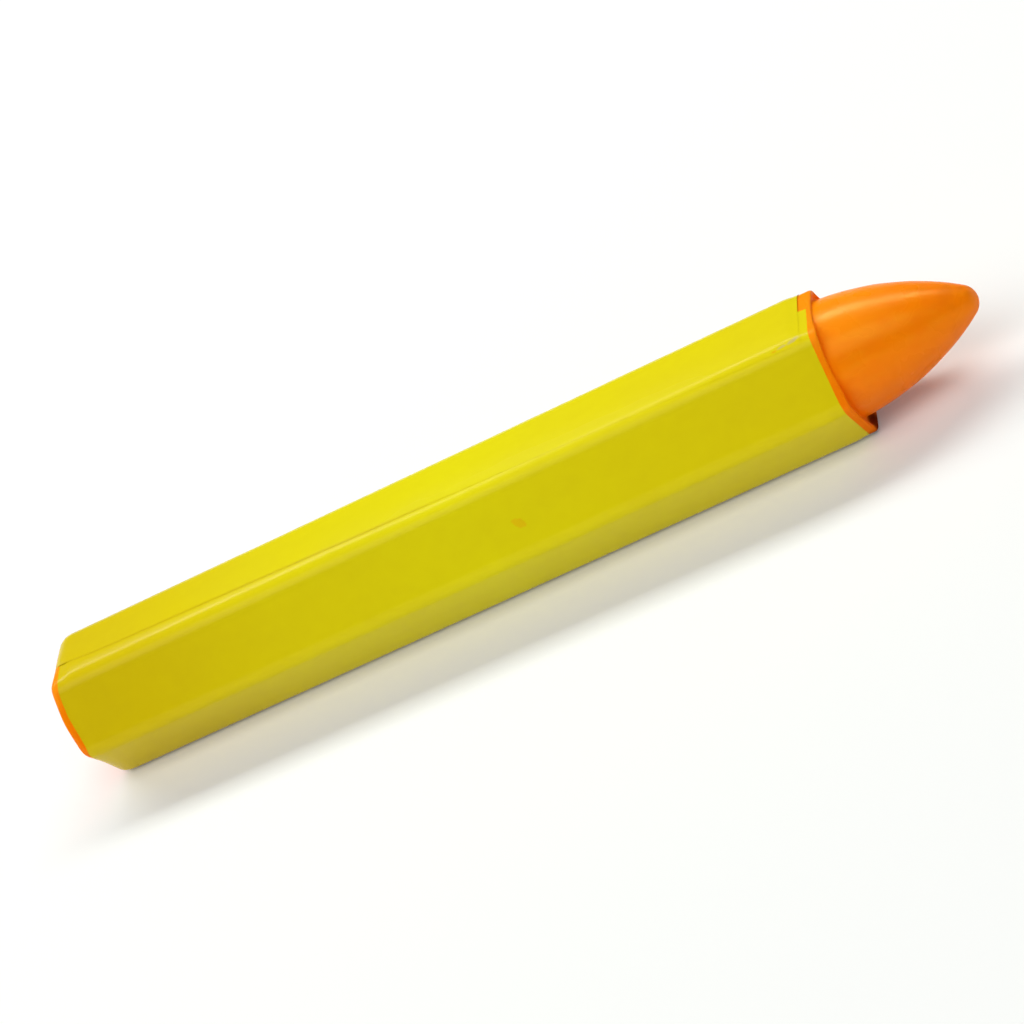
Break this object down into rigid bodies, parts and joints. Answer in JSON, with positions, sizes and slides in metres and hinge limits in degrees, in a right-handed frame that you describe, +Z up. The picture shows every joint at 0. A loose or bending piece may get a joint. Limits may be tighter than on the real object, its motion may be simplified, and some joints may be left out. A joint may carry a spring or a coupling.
{
  "type": "tire marking crayon",
  "caption": "Hexagonal wax marking crayon with a moulded bullet tip, wound in a glossy lapped paper label, for marking tires and rubber.",
  "frame": {"origin": "under the middle of the crayon's overall length, on the surface that it rests on", "axes": "+X along the crayon towards the tip, +Z up, out of the flat that carries the label's lap"},
  "size_m": [0.1206, 0.018, 0.0163],
  "materials": {
    "wax": "satin fluorescent orange marking wax, slightly greasy",
    "label_paper": "bright yellow coated paper with a semi-gloss surface, plain"
  },
  "bodies": {
    "root": {"wax_stick": "wax", "paper_label": "label_paper"}
  },
  "joints": []
}
